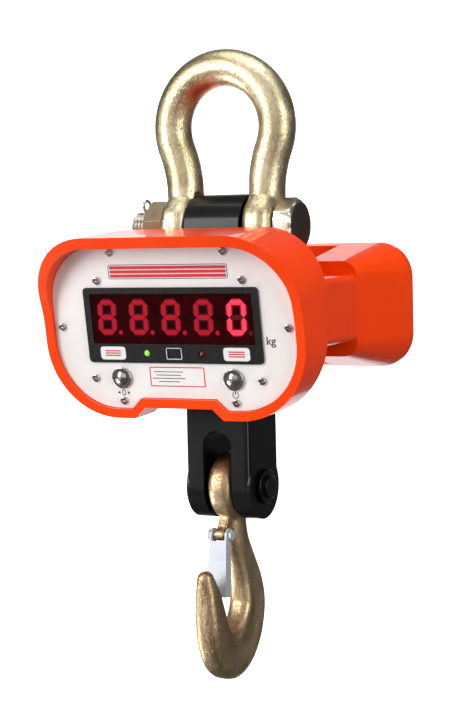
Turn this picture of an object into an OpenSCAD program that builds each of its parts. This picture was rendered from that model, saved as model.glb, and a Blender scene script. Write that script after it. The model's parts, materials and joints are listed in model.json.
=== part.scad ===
// Crane scale: shackle, load cell, casing with display, swivel clevis and eye hook.
// Origin: the crown seat inside the shackle's bow, where a crane hook bears. +Z is up,
// the display faces -Y, and the shackle's bolt lies along X.

/* [Shackle] */
// Diameter of the bow's bar
bow_bar = 28; // [26:0.5:29]
// Height of the crown seat above the bolt's axis
bow_inner_height = 104; // [100:0.5:108]
// Radius of the bow's round top, to the middle of the bar
bow_radius = 43.8; // [42:0.2:45]
// Thickness of each ear, along the bolt
ear_width = 22.6; // [21:0.1:24]
// Radius of each ear
ear_radius = 27; // [26:0.5:28]
// Diameter of the shackle bolt's shank
bolt_diameter = 25; // [24.5:0.5:26]
// Width across flats of the bolt's head and nut
bolt_flats = 36; // [34:1:38]

/* [Load cell] */
// Thickness of the load cell's block, which fits between the ears
cell_thickness = 45.4; // [44:0.2:46]
// Width of the load cell's block, front to back
lug_width = 52; // [50:1:54]
// Height of the block's round top above the bolt's axis
lug_top = 24; // [23:0.5:25]

/* [Casing] */
// Half width of the front drum
drum_half_width = 105.5; // [104:0.5:108]
// Half height of the front drum, along the panel
drum_half_height = 67; // [66:0.5:69]
// Width of the orange rim round the panel
rim = 6.7; // [6:0.1:7.5]
// How far the hood's top edge stands in front of the panel
hood_depth = 20; // [16:1:24]
// Lean of the panel, its top edge towards the reader, in degrees
panel_lean = 8.7; // [7:0.1:10]
// Wall thickness of the casting
wall = 4; // [3:0.5:5]
// Half width of the waist between the two drums
waist_half_width = 86.5; // [84:0.5:88]
// Depth of the rear drum, front to back
rear_depth = 66; // [60:1:70]

/* [Display] */
// Width of the display bezel
bezel_width = 142.4; // [140:0.2:146]
// Height of the display bezel
bezel_height = 55.2; // [54:0.2:57]
// Distance from one digit to the next
digit_pitch = 26.4; // [25.5:0.1:26.6]
// Height of a lit digit
digit_height = 25.4; // [22:0.2:26]

/* [Hook] */
// Distance from the shackle bolt's axis down to the clevis pin's axis
pin_drop = 194.4; // [192:0.2:197]
// Diameter of the clevis pin
clevis_pin_diameter = 20; // [18:0.5:21]
// Half width of the clevis, along its pin
clevis_half_width = 26.5; // [26:0.5:28]
// Half depth of the clevis, and radius of its cheeks' round ends
clevis_half_depth = 24.5; // [23:0.5:25]
// Gap between the clevis's cheeks
clevis_gap = 23.6; // [23:0.1:24.5]
// Radius of the hook's eye
eye_radius = 26; // [25:0.5:27]
// Width of the hook's eye, along the pin
eye_width = 21; // [19:0.5:22]
// Full opening of the safety latch, in degrees
latch_opening = 26; // [20:1:28]

/* [Hidden] */
$fn = 64;
fine = 0.05;        // running clearance of a pin, on the radius
slack = 0.3;        // clearance between neighbours that only pass each other
eps = 0.01;

pin_z = -bow_inner_height;
ear_inner = cell_thickness / 2 + 0.35;
ear_mid = ear_inner + ear_width / 2;
ear_outer = ear_inner + ear_width;
bar_r = bow_bar / 2;
bow_centre = bow_inner_height + bar_r - bow_radius;
bow_wrap = 22;      // the round top passes this far below its own middle, in degrees
leg_bend = (bow_radius * cos(bow_wrap) - ear_mid) / (1 - cos(bow_wrap));
leg_foot = bow_centre - (bow_radius + leg_bend) * sin(bow_wrap);
bolt_r = bolt_diameter / 2;
thread_r = bolt_r - 0.5;
head_thickness = 16;
nut_thickness = 16;
thread_end = ear_outer + 31;
cotter_x = -(ear_outer + 23);

lug_sweep = 26.2;   // room that the bow leaves for the round top to turn in
gauge_z = -62;
gauge_r = 17;
gauge_pocket = 9;

panel_y = -86.7;    // centre of the panel's face, from the bolt's axis
panel_z = -70.4;
drum_back = -52;    // rear wall of the front drum
drum_lean = 4.5;    // lean of the drum's own axis
hood_start = 12;    // height on the panel at which the hood begins
rim_proud = 3.5;
drum_round_top = 48.5;
drum_round_low = 56;
notch_depth = 8;
notch_half_top = 27.7;
notch_half_low = 36;
waist_top = -38;
waist_low = -88.5;
rear_front = 41.5;
rear_back = rear_front + rear_depth;
rear_top = -27.7;
rear_low = -99.6;
rear_flare = 15.5;
rear_rise = 12.5;
rear_half_width = waist_half_width + rear_flare;
rear_mid = (rear_top + rear_low) / 2;
channel_top = [46.5, 98];   // half width and far end of the channel in the rear drum's top
channel_low = [40, 92];     // the same underneath
cover_thickness = 5;
cell_hole_x = 27.5;
cell_hole_top = 29;
cell_hole_low = 28;

panel_t = 2;
panel_half_width = drum_half_width - rim - 0.3;
panel_half_height = drum_half_height - rim;
fix_screws = [[46.1, 54.7], [92.3, 0], [46.1, -54.5]];
board_screws_at = [[59.1, 34.2], [68.2, -38.1]];
button_at = [45.8, -37.4];
bezel_v = 1.6;      // middle of the bezel, up the panel
lens_size = [132, 37];
lens_v = 6.2;
digit_v = 7.5;
digit_u = 1.2;
indicator_v = -18.9;
indicator_u = [-22.6, 0, 22.6];

clevis_top = -128;
slot_top = -151;
stirrup_half_x = 26;
stirrup_half_y = 24.5;
stirrup_top = -86;
window_top = -90;
floor_top = -114;
stem_r = 11;
stem_thread_r = 9.5;
race_r = 18;
ball_r = 2.5;
balls = 16;
race_t = 3;
stem_nut_low = floor_top + 2 * race_t + 2 * ball_r;

latch_pivot = [-20.5, -229.5];
latch_low = [-26.8, -275];
latch_sheet = 1.4;
latch_top = -4.6;
lug_half = 3.9;
cheek_in = 5.6;
cheek_out = cheek_in + latch_sheet;
hook_sides = 20;
hook_steps = 4;
// Middle of the hook's bar and its half thickness in the hook's plane and across it:
// [front to back, height, in plane, across]
hook_stations = [
    [0, -207, 15, 9.5], [0.5, -222, 11, 9], [4, -238, 11.5, 9.5], [11, -255, 13, 10.3],
    [17, -271, 14.5, 11], [18.6, -288, 15.6, 11.4], [12, -304.5, 17.2, 11.6], [-0.2, -317, 18.2, 11.7],
    [-14, -321, 18.6, 11.5], [-27, -315.8, 16.8, 11], [-35.8, -302.5, 14, 10.4],
    [-40, -287, 11.5, 9.6], [-43, -272.5, 9, 8.4], [-46.4, -260, 6.6, 6.4]];

// ---- helpers ----

// Everything below is placed from the shackle bolt's axis.
module from_bolt() { translate([0, 0, pin_z]) children(); }

// The panel's own axes: x along the panel, y up it, z out of its face.
module on_panel() {
    translate([0, panel_y, pin_z + panel_z]) rotate([90 + panel_lean, 0, 0]) children();
}

module rod_x(r, from, to) { translate([from, 0, 0]) rotate([0, 90, 0]) cylinder(r = r, h = to - from); }

module both_sides() { children(); mirror([1, 0, 0]) children(); }

module rounded_disc(r, h, edge) {
    rotate_extrude() {
        square([r - edge, h]);
        translate([0, edge]) square([r, h - 2 * edge]);
        translate([r - edge, edge]) circle(edge);
        translate([r - edge, h - edge]) circle(edge);
    }
}

// A rectangle with round corners, centred.
module plate_2d(size, r) {
    square([size[0] - 2 * r, size[1]], center = true);
    square([size[0], size[1] - 2 * r], center = true);
    for (x = [-1, 1], y = [-1, 1])
        translate([x * (size[0] / 2 - r), y * (size[1] / 2 - r)]) circle(r);
}

// The drum's front outline, drawn `inset` inside its outer edge.
module drum_2d(inset = 0) {
    w = drum_half_width - inset;
    h = drum_half_height - inset;
    top_r = drum_round_top - inset;
    low_r = drum_round_low - inset;
    slant = inset * 0.4;
    difference() {
        both_sides() {
            translate([w - top_r, h - top_r]) circle(top_r);
            translate([w - low_r, low_r - h]) circle(low_r);
            translate([-eps, -h]) square([w - low_r + eps, 2 * h]);
            translate([-eps, h - top_r - 20]) square([w - top_r + eps, top_r + 20]);
            translate([-eps, low_r - h]) square([w + eps, 2 * h - top_r - low_r]);
        }
        polygon([[-notch_half_low - slant - 1, -h - 1], [-notch_half_low - slant, -h],
                 [-notch_half_top - slant, notch_depth - h], [notch_half_top + slant, notch_depth - h],
                 [notch_half_low + slant, -h], [notch_half_low + slant + 1, -h - 1]]);
    }
}

module hex_rod_x(flats, from, to, chamfer = 1.6) {
    corner = flats / 2 / cos(30);
    intersection() {
        translate([from, 0, 0]) rotate([0, 90, 0]) cylinder(r = corner, h = to - from, $fn = 6);
        translate([from, 0, 0]) rotate([0, 90, 0])
            cylinder(r1 = corner + (to - from) / 1.2, r2 = corner - chamfer, h = to - from);
    }
}

module pan_screw(head_r, shank_r, length) {
    difference() {
        union() {
            rounded_disc(head_r, 1.8, 0.8);
            translate([0, 0, -length]) cylinder(r = shank_r, h = length + eps);
        }
        for (a = [0, 90]) rotate(a) translate([-head_r * 0.55, -0.4, 0.9]) cube([head_r * 1.1, 0.8, 2]);
    }
}

// ---- shackle ----

module shackle_leg() {
    translate([ear_mid + leg_bend, 0, leg_foot]) rotate([90, 0, 0]) rotate([0, 0, 179.5 - bow_wrap])
        rotate_extrude(angle = bow_wrap + 1, $fn = 96) translate([leg_bend, 0]) circle(bar_r - 0.04);
    translate([ear_mid, 0, 0]) cylinder(r = bar_r, h = leg_foot);
    translate([ear_inner, 0, 0]) rotate([0, 90, 0]) rounded_disc(ear_radius, ear_width, 9);
}

module shackle_bow() {
    color("darkkhaki") from_bolt() difference() {
        union() {
            translate([0, 0, bow_centre]) rotate([90, 0, 0]) rotate([0, 0, -bow_wrap])
                rotate_extrude(angle = 180 + 2 * bow_wrap, $fn = 96) translate([bow_radius, 0]) circle(bar_r);
            both_sides() shackle_leg();
        }
        rod_x(bolt_r + 0.5, -ear_outer - 1, ear_outer + 1);
        rod_x(lug_sweep, -ear_inner, ear_inner);
        both_sides() rod_x(ear_radius, ear_outer, ear_outer + 10);
    }
}

module shackle_bolt() {
    color("silver") from_bolt() difference() {
        union() {
            rod_x(bolt_r, -ear_outer, ear_outer + 1);
            rod_x(thread_r, -thread_end + 1.5, -ear_outer + eps);
            translate([-thread_end, 0, 0]) rotate([0, 90, 0]) cylinder(r1 = thread_r - 1.5, r2 = thread_r, h = 1.5);
            hex_rod_x(bolt_flats, ear_outer + 0.2, ear_outer + head_thickness);
        }
        translate([cotter_x, 0, -20]) cylinder(r = 2.6, h = 40);
    }
}

module shackle_nut() {
    color("tan") from_bolt() difference() {
        mirror([1, 0, 0]) rotate([15, 0, 0]) hex_rod_x(bolt_flats, ear_outer + 0.2, ear_outer + nut_thickness);
        rod_x(thread_r + fine, -ear_outer - nut_thickness - 1, -ear_outer + 1);
    }
}

module shackle_cotter_pin() {
    leg = thread_r + 7;
    color("silver") from_bolt() translate([cotter_x, 0, 0]) {
        translate([0, 0, -leg]) cylinder(r = 2.3, h = leg + thread_r + 1);
        translate([0, 0, thread_r + 4.4]) rotate([0, 90, 0]) rotate_extrude() translate([3.9, 0]) circle(1.2);
        translate([0, 0, -leg]) rotate([60, 0, 0]) translate([0, 0, -7]) cylinder(r = 1.1, h = 8);
        translate([0, 0, -leg]) rotate([-60, 0, 0]) translate([0, 0, -7]) cylinder(r = 1.1, h = 8);
    }
}

// ---- load cell ----

module cell_2d() {
    round = lug_width / 2;
    translate([0, lug_top - round]) circle(round);
    translate([-round, stirrup_top - 1]) square([lug_width, lug_top - round + 1 - stirrup_top]);
}

module load_cell() {
    color("dimgray") from_bolt() difference() {
        union() {
            translate([-cell_thickness / 2, 0, 0]) rotate([90, 0, 90]) linear_extrude(cell_thickness) cell_2d();
            translate([0, 0, clevis_top + 1]) linear_extrude(stirrup_top - clevis_top - 1)
                plate_2d([2 * stirrup_half_x, 2 * stirrup_half_y], 4);
        }
        rod_x(bolt_r + fine, -cell_thickness, cell_thickness);
        both_sides() translate([0, 0, gauge_z]) rod_x(gauge_r, cell_thickness / 2 - gauge_pocket, cell_thickness);
        translate([-stirrup_half_x - 1, -race_r - 0.5, floor_top])
            cube([2 * stirrup_half_x + 2, 2 * race_r + 1, window_top - floor_top]);
        translate([0, 0, clevis_top]) cylinder(r = stem_r + fine, h = floor_top - clevis_top + 1);
        both_sides() for (y = [-19, 19]) translate([0, y, -77.5]) rod_x(2.6, 10, cell_thickness);
    }
}

module gauge_covers() {
    color("silver") from_bolt() both_sides() translate([0, 0, gauge_z])
        rod_x(gauge_r - fine, cell_thickness / 2 - 1.6, cell_thickness / 2);
}

module gauge_cable() {
    start = [cell_thickness / 2 + 5, 0, gauge_z];
    color("gray") from_bolt() {
        translate([0, 0, gauge_z]) rod_x(2.5, cell_thickness / 2, start[0]);
        translate(start) sphere(2.5);
        translate(start) rotate([90, 0, 0]) cylinder(r = 2.5, h = 57);
    }
}

module mounting_brackets() {
    color("silver") from_bolt() both_sides() difference() {
        union() {
            translate([cell_thickness / 2, -25, waist_low + wall]) cube([3, 50, 12]);
            translate([cell_thickness / 2, -25, waist_low + wall]) cube([34, 50, 3]);
        }
        for (y = [-19, 19]) translate([0, y, -77.5]) rod_x(2.6, 10, 30);
        for (y = [-19, 19]) translate([44, y, waist_low]) cylinder(r = 2.7, h = 10);
    }
}

module bracket_screws() {
    color("silver") from_bolt() both_sides() for (y = [-19, 19]) {
        translate([cell_thickness / 2 + 3, y, -77.5]) rotate([0, 90, 0]) pan_screw(3.6, 2.4, 10);
        translate([44, y, waist_low + wall + 3]) pan_screw(4.5, 2.4, wall + 2.6);
    }
}

// ---- casing ----

// The drum's outline pushed back along its own axis, up to its rear wall.
module drum_bar(inset, back) {
    intersection() {
        translate([0, panel_y, panel_z]) rotate([90 + drum_lean, 0, 0])
            translate([0, 0, -70]) linear_extrude(110) drum_2d(inset);
        translate([-150, back - 120, -200]) cube([300, 120, 260]);
    }
}

// All that is in front of the rim's and the hood's front edge.
module in_front_of_hood() {
    top = drum_half_height + 20;
    slope = (hood_depth - rim_proud) / (drum_half_height - hood_start);
    blend = 14;
    translate([0, 0, -pin_z]) on_panel() rotate([90, 0, 90]) translate([0, 0, -150]) linear_extrude(300)
        polygon(concat(
            [[-top, rim_proud], [hood_start - blend, rim_proud]],
            [for (k = [1:7]) let (s = k / 8 * 2 * blend)
                [hood_start - blend + s, rim_proud + slope * s * s / (4 * blend)]],
            [[hood_start + blend, rim_proud + slope * blend], [top, rim_proud + slope * (top - hood_start)],
             [top, 80], [-top, 80]]));
}

module rear_shape(inset, from, to) {
    function grow(y) = (y - rear_front) / rear_depth;
    module slice(y, r) {
        g = grow(y);
        w = waist_half_width + rear_flare * g - inset;
        top = rear_top + rear_rise * g - inset;
        low = rear_low - rear_rise * g + inset;
        translate([0, y + 0.01, (top + low) / 2]) rotate([90, 0, 0])
            linear_extrude(0.01) plate_2d([2 * w, top - low], r - inset, $fn = 32);
    }
    hull() { slice(from, 12); slice(to, 27); }
}

// The channels that leave room above and below the middle of the rear drum.
module channels(grow) {
    translate([-channel_top[0] - grow, rear_front - 5, waist_top - grow])
        cube([2 * (channel_top[0] + grow), channel_top[1] + grow - rear_front + 5, 40]);
    translate([-channel_low[0] - grow, rear_front - 5, waist_low + grow - 40])
        cube([2 * (channel_low[0] + grow), channel_low[1] + grow - rear_front + 5, 40]);
}

module boss(u, v, r, from, to) {
    translate([0, 0, -pin_z]) on_panel() translate([u, v, from]) cylinder(r = r, h = to - from);
}

module cover_bosses(r, from, to) {
    for (x = [-1, 1], z = [-1, 1])
        translate([x * 84, to, rear_mid + z * 38]) rotate([90, 0, 0]) cylinder(r = r, h = to - from);
}

module housing_casting() {
    color("orangered") from_bolt() difference() {
        union() {
            difference() {
                drum_bar(0, drum_back);
                in_front_of_hood();
                intersection() {
                    drum_bar(wall, drum_back - wall);
                    translate([0, 0, -pin_z]) on_panel() translate([-150, -100, -100]) cube([300, 200, 93]);
                }
            }
            difference() {
                rear_shape(0, rear_front, rear_back - 0.01);
                channels(0);
                difference() {
                    rear_shape(wall, rear_front + wall, rear_back + 1);
                    channels(wall);
                }
            }
            difference() {
                translate([0, (drum_back + rear_front) / 2, 0]) rotate([90, 0, 0])
                    linear_extrude(rear_front - drum_back + 2, center = true) translate([0, (waist_top + waist_low) / 2])
                    plate_2d([2 * waist_half_width, waist_top - waist_low], 6);
                translate([-cell_hole_x, -cell_hole_top, waist_top - 10])
                    cube([2 * cell_hole_x, 2 * cell_hole_top, 20]);
                translate([-cell_hole_x, -cell_hole_low, waist_low - 10])
                    cube([2 * cell_hole_x, 2 * cell_hole_low, 20]);
            }
            intersection() {
                for (p = fix_screws, s = [-1, 1]) boss(s * p[0], p[1], 5, -20, -3);
                drum_bar(1, drum_back - 1);
            }
            intersection() {
                cover_bosses(5, rear_front + 20, rear_back - 0.01);
                rear_shape(1, rear_front + 1, rear_back);
            }
        }
        // hollow of the waist, open into both drums
        translate([0, (drum_back + rear_front) / 2, 0]) rotate([90, 0, 0])
            linear_extrude(rear_front - drum_back + 2 * wall + 2, center = true)
            translate([0, (waist_top + waist_low) / 2])
            plate_2d([2 * (waist_half_width - wall), waist_top - waist_low - 2 * wall], 4);
        // seat of the panel, and the opening behind it
        translate([0, 0, -pin_z]) on_panel() translate([0, 0, -panel_t - 1.2]) linear_extrude(80) drum_2d(rim);
        difference() {
            translate([0, 0, -pin_z]) on_panel() translate([0, 0, -12]) linear_extrude(12) drum_2d(rim + 5);
            for (p = fix_screws, s = [-1, 1]) boss(s * p[0], p[1], 5, -20, -panel_t - 1.2);
        }
        for (p = fix_screws, s = [-1, 1]) boss(s * p[0], p[1], 1.3, -14, 1);
        cover_bosses(1.3, rear_back - 14, rear_back + 1);
        for (x = [-44, 44], y = [-19, 19]) translate([x, y, waist_low - 1]) cylinder(r = 2.45, h = wall + 2);
    }
}

module top_seal() {
    color("black") from_bolt() translate([0, 0, waist_top - wall]) difference() {
        translate([-cell_hole_x, -cell_hole_top, 0]) cube([2 * cell_hole_x, 2 * cell_hole_top, wall + 1.5]);
        translate([-cell_thickness / 2, -lug_width / 2, -1]) cube([cell_thickness, lug_width, 10]);
    }
}

module bottom_seal() {
    color("black") from_bolt() translate([0, 0, waist_low - 1.5]) difference() {
        translate([-cell_hole_x, -cell_hole_low, 0]) cube([2 * cell_hole_x, 2 * cell_hole_low, 5]);
        translate([-stirrup_half_x, -lug_width / 2, -1]) cube([2 * stirrup_half_x, lug_width, 10]);
    }
}

module panel_gasket() {
    color("black") on_panel() translate([0, 0, -panel_t - 1.2]) linear_extrude(1.2) difference() {
        drum_2d(rim + 0.4);
        drum_2d(rim + 3.6);
        for (p = fix_screws, s = [-1, 1]) translate([s * p[0], p[1]]) circle(2.2);
    }
}

// ---- front panel and display ----

module front_panel() {
    color("whitesmoke") on_panel() translate([0, 0, -panel_t]) linear_extrude(panel_t) difference() {
        drum_2d(rim + 0.3);
        translate([0, bezel_v]) square([bezel_width - 8, bezel_height - 8], center = true);
        for (p = fix_screws, s = [-1, 1]) translate([s * p[0], p[1]]) circle(1.7);
        for (p = board_screws_at, s = [-1, 1]) translate([s * p[0], p[1]]) circle(1.7);
        for (s = [-1, 1]) translate([s * button_at[0], button_at[1]]) circle(6.05);
    }
}

module panel_screws() {
    color("silver") on_panel() for (p = fix_screws, s = [-1, 1])
        translate([s * p[0], p[1], 0]) pan_screw(2.9, 1.25, 12);
}

module board_screws() {
    color("silver") on_panel() for (p = board_screws_at, s = [-1, 1])
        translate([s * p[0], p[1], 0]) pan_screw(2.9, 1.25, 8);
}

module display_bezel() {
    color("black") on_panel() difference() {
        union() {
            linear_extrude(1.4) translate([0, bezel_v]) plate_2d([bezel_width, bezel_height], 3);
            translate([0, 0, -4]) linear_extrude(4) translate([0, bezel_v])
                square([bezel_width - 8.2, bezel_height - 8.2], center = true);
        }
        translate([0, lens_v, -5]) linear_extrude(10) square(lens_size, center = true);
        for (u = [indicator_u[0], indicator_u[2]]) translate([u, indicator_v, -5]) cylinder(r = 2.55, h = 10);
        translate([indicator_u[1], indicator_v, -5]) linear_extrude(10) square([10.2, 6.2], center = true);
    }
}

module display_lens() {
    color("darkred") on_panel() translate([0, lens_v, -1.2]) linear_extrude(2)
        square([lens_size[0] - 0.1, lens_size[1] - 0.1], center = true);
}

module led_digits() {
    color("dimgray") on_panel() for (k = [-2:2])
        translate([digit_u + k * digit_pitch, digit_v, -9]) linear_extrude(7.6)
            square([digit_pitch - 2.6, digit_height + 6.4], center = true);
}

module board_hole_2d() {
    for (p = board_screws_at, s = [-1, 1]) translate([s * p[0], p[1]]) circle(1.7);
}

module display_board() {
    color("seagreen") on_panel() translate([0, 0, -10.8]) linear_extrude(1.6) difference() {
        translate([0, -1]) square([150, 82], center = true);
        board_hole_2d();
        for (s = [-1, 1]) translate([s * button_at[0], button_at[1]]) circle(9);
    }
}

module board_standoffs() {
    color("silver") on_panel() for (p = board_screws_at, s = [-1, 1]) translate([s * p[0], p[1], -9.2]) difference() {
        cylinder(r = 2.8, h = 9.2 - panel_t);
        translate([0, 0, -1]) cylinder(r = 1.3, h = 12);
    }
}

module main_board() {
    color("seagreen") on_panel() translate([0, 0, -20]) {
        linear_extrude(1.6) translate([0, 2]) square([120, 60], center = true);
        for (x = [-40, -12, 18]) translate([x, 4, 1.6]) linear_extrude(3) square([14, 14], center = true);
        translate([44, 6, 1.6]) cylinder(r = 4, h = 5);
        for (x = [-54, 54], y = [-22, 26]) translate([x, y, 1.6]) cylinder(r = 2.5, h = 7.6);
    }
}

module indicator(u) {
    on_panel() translate([u, indicator_v, -9.2]) {
        cylinder(r = 2.45, h = 8.7);
        cylinder(r = 2.9, h = 1);
        intersection() {
            translate([0, 0, 8.7]) sphere(2.45);
            cylinder(r = 3, h = 20);
        }
    }
}

module steady_led() { color("limegreen") indicator(indicator_u[0]); }

module tare_led() { color("darkred") indicator(indicator_u[2]); }

module infrared_window() {
    color("black") on_panel() translate([indicator_u[1], indicator_v, -9.2]) linear_extrude(10.2)
        square([10, 6], center = true);
}

module button_place(side) { on_panel() translate([side * button_at[0], button_at[1], 0]) children(); }

module button_bezels() {
    color("silver") for (side = [-1, 1]) button_place(side) difference() {
        union() {
            rounded_disc(8, 2, 0.7);
            translate([0, 0, -8]) cylinder(r = 6, h = 8 + eps);
        }
        translate([0, 0, -9]) cylinder(r = 5 + slack, h = 20);
    }
}

module button_switches() {
    color("dimgray") for (side = [-1, 1]) button_place(side) {
        translate([0, 0, -18]) difference() {
            cylinder(r = 8, h = 13);
            translate([0, 0, 6]) cylinder(r = 6, h = 10);
        }
    }
}

module button_cap() {
    translate([0, 0, -8.5]) cylinder(r = 5, h = 8.5);
    translate([0, 0, -eps]) intersection() {
        translate([0, 0, -4]) sphere(8);
        cylinder(r = 5, h = 8);
    }
}

module tare_button() { color("silver") button_place(-1) button_cap(); }

module power_button() { color("silver") button_place(1) button_cap(); }

// ---- rear drum ----

module battery() {
    color("slategray") from_bolt() translate([-50, 52, waist_low + wall + 1.2]) {
        cube([101, 44, 36]);
        for (x = [18, 50]) translate([x, 20, 36]) cube([6, 1, 4.6]);
    }
}

module battery_strap() {
    color("silver") from_bolt() translate([30, 50.8, waist_low + wall]) difference() {
        cube([14, 46.4, 38.4]);
        translate([-1, 1.2, 1.2]) cube([16, 44, 36]);
    }
}

module rear_gasket() {
    color("black") from_bolt() difference() {
        translate([0, rear_back + 1, 0]) rotate([90, 0, 0]) linear_extrude(1) translate([0, rear_mid])
            plate_2d([2 * rear_half_width - 1, rear_top - rear_low + 2 * rear_rise - 1], 26);
        translate([0, rear_back + 2, 0]) rotate([90, 0, 0]) linear_extrude(3) translate([0, rear_mid])
            plate_2d([2 * rear_half_width - 8, rear_top - rear_low + 2 * rear_rise - 8], 22);
    }
}

module rear_cover() {
    color("orangered") from_bolt() difference() {
        union() {
            translate([0, rear_back + 1 + cover_thickness, 0]) rotate([90, 0, 0]) linear_extrude(cover_thickness)
                translate([0, rear_mid])
                plate_2d([2 * rear_half_width, rear_top - rear_low + 2 * rear_rise], 27);
            for (x = [-30:20:30]) translate([x - 1.5, rear_back + 1 + cover_thickness - eps, -86]) cube([3, 2, 24]);
        }
        cover_bosses(1.8, rear_back - 1, rear_back + 10);
        cover_bosses(3.4, rear_back + cover_thickness - 1, rear_back + 10);
        translate([58, rear_back + 10, -80]) rotate([90, 0, 0]) cylinder(r = 6.1, h = 20);
    }
}

module cover_screws() {
    color("silver") from_bolt() for (x = [-1, 1], z = [-1, 1])
        translate([x * 84, rear_back + cover_thickness - 1, rear_mid + z * 38]) rotate([-90, 0, 0])
            pan_screw(3, 1.25, 14);
}

module charge_socket() {
    face = rear_back + 1 + cover_thickness;
    color("silver") from_bolt() translate([58, face, -80]) rotate([-90, 0, 0]) difference() {
        union() {
            cylinder(r = 9, h = 2);
            cylinder(r = 8, h = 11);
            translate([0, 0, -14]) cylinder(r = 6, h = 15);
            translate([0, 0, -cover_thickness - 4]) cylinder(r = 9, h = 4, $fn = 6);
        }
        difference() {
            translate([0, 0, 3]) cylinder(r = 6.2, h = 10);
            for (x = [-2.4, 2.4]) translate([x, 0, 2]) cylinder(r = 0.9, h = 7);
        }
    }
}

// ---- swivel and clevis ----

module race_profile(r_in, low) {
    difference() {
        translate([r_in, low]) square([race_r - r_in, race_t]);
        translate([(race_r + stem_r) / 2, floor_top + race_t + ball_r]) circle(ball_r + 0.02);
    }
}

module lower_race() {
    color("silver") from_bolt() rotate_extrude() race_profile(stem_r + 0.6, floor_top);
}

module upper_race() {
    color("silver") from_bolt() rotate_extrude() race_profile(stem_r + fine, floor_top + race_t + 2 * ball_r);
}

module bearing_balls() {
    color("silver") from_bolt() for (k = [1:balls]) rotate(360 / balls * k)
        translate([(race_r + stem_r) / 2, 0, floor_top + race_t + ball_r]) sphere(ball_r - 0.03, $fn = 32);
}

module swivel_stem() {
    color("dimgray") from_bolt() difference() {
        union() {
            translate([0, 0, clevis_top - slack]) cylinder(r = stem_r, h = stem_nut_low - clevis_top + slack);
            translate([0, 0, clevis_top - 20]) cylinder(r = stem_thread_r, h = window_top - 1 - clevis_top + 20);
        }
        translate([0, 20, window_top - 4]) rotate([90, 0, 0]) cylinder(r = 1.6, h = 40);
    }
}

module swivel_nut() {
    color("silver") from_bolt() difference() {
        translate([0, 0, stem_nut_low]) cylinder(r = 17.5, h = window_top - 2 - stem_nut_low, $fn = 6);
        translate([0, 0, stem_nut_low - 1]) cylinder(r = stem_thread_r + fine, h = 40);
        for (a = [0:60:120]) rotate(a) translate([-1.8, -30, window_top - 6]) cube([3.6, 60, 10]);
    }
}

module swivel_split_pin() {
    color("silver") from_bolt() translate([0, 16.5, window_top - 4]) rotate([90, 0, 0]) cylinder(r = 1.5, h = 33);
}

module clevis_fork() {
    reach = clevis_half_width + 1;
    color("dimgray") from_bolt() difference() {
        union() {
            translate([0, 0, -pin_drop]) linear_extrude(clevis_top - slack + pin_drop)
                plate_2d([2 * clevis_half_width, 2 * clevis_half_depth], 4);
            translate([0, 0, -pin_drop]) rod_x(clevis_half_depth, -clevis_half_width, clevis_half_width);
        }
        translate([0, reach + 1, -pin_drop - reach]) rotate([90, 0, 0]) linear_extrude(2 * reach + 2) {
            translate([-clevis_gap / 2, 0]) square([clevis_gap, slot_top + pin_drop + reach - clevis_gap / 2]);
            translate([0, slot_top + pin_drop + reach - clevis_gap / 2]) circle(clevis_gap / 2);
        }
        translate([0, 0, -pin_drop]) rod_x(clevis_pin_diameter / 2 + fine, -reach, reach);
        translate([0, 0, clevis_top - 20]) cylinder(r = stem_thread_r + fine, h = 30);
    }
}

module clevis_pin() {
    color("dimgray") from_bolt() translate([0, 0, -pin_drop]) difference() {
        union() {
            rod_x(clevis_pin_diameter / 2, -clevis_half_width - 6, clevis_half_width + 3);
            translate([clevis_half_width + slack, 0, 0]) rotate([0, 90, 0]) rounded_disc(13, 3.2, 1);
            translate([clevis_half_width + 3, 0, 0]) rotate([0, 90, 0]) rounded_disc(8.5, 3.4, 1);
        }
        translate([-clevis_half_width - 4, 0, 0]) rotate([0, -90, 0]) difference() {
            cylinder(r = 12, h = 1.3);
            translate([0, 0, -1]) cylinder(r = clevis_pin_diameter / 2 - 0.8, h = 4);
        }
    }
}

module pin_washer() {
    color("silver") from_bolt() translate([-clevis_half_width - 3.6, 0, -pin_drop]) rotate([0, 90, 0])
        difference() {
            cylinder(r = 15, h = 3.2);
            translate([0, 0, -1]) cylinder(r = clevis_pin_diameter / 2 + fine, h = 6);
        }
}

module pin_circlip() {
    color("silver") from_bolt() translate([-clevis_half_width - 5.2, 0, -pin_drop]) rotate([0, 90, 0])
        difference() {
            cylinder(r = 12.5, h = 1.1);
            translate([0, 0, -1]) cylinder(r = clevis_pin_diameter / 2 - 0.7, h = 4);
            translate([-3, 0, -1]) cube([6, 20, 4]);
        }
}

// ---- hook ----

function spline(p, k, t) =
    let (a = p[max(k - 1, 0)], b = p[k], c = p[k + 1], d = p[min(k + 2, len(p) - 1)])
    0.5 * (2 * b + (c - a) * t + (2 * a - 5 * b + 4 * c - d) * t * t + (3 * b - 3 * c + d - a) * t * t * t);

hook_path = concat(
    [for (k = [0:len(hook_stations) - 2], s = [0:hook_steps - 1]) spline(hook_stations, k, s / hook_steps)],
    [hook_stations[len(hook_stations) - 1]]);

function along(k) =
    let (a = hook_path[max(k - 1, 0)], b = hook_path[min(k + 1, len(hook_path) - 1)],
         d = [b[0] - a[0], b[1] - a[1]]) d / norm(d);

// A ring of the hook's skin, square to its middle line and pushed `ahead` along it.
function hook_ring(k, grow = 1, ahead = 0) =
    let (p = hook_path[k], d = along(k))
    [for (s = [0:hook_sides - 1]) let (a = 360 / hook_sides * s, out = p[2] * grow * cos(a))
        [p[3] * grow * sin(a), p[0] + d[1] * out + d[0] * ahead, p[1] - d[0] * out + d[1] * ahead]];

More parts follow.
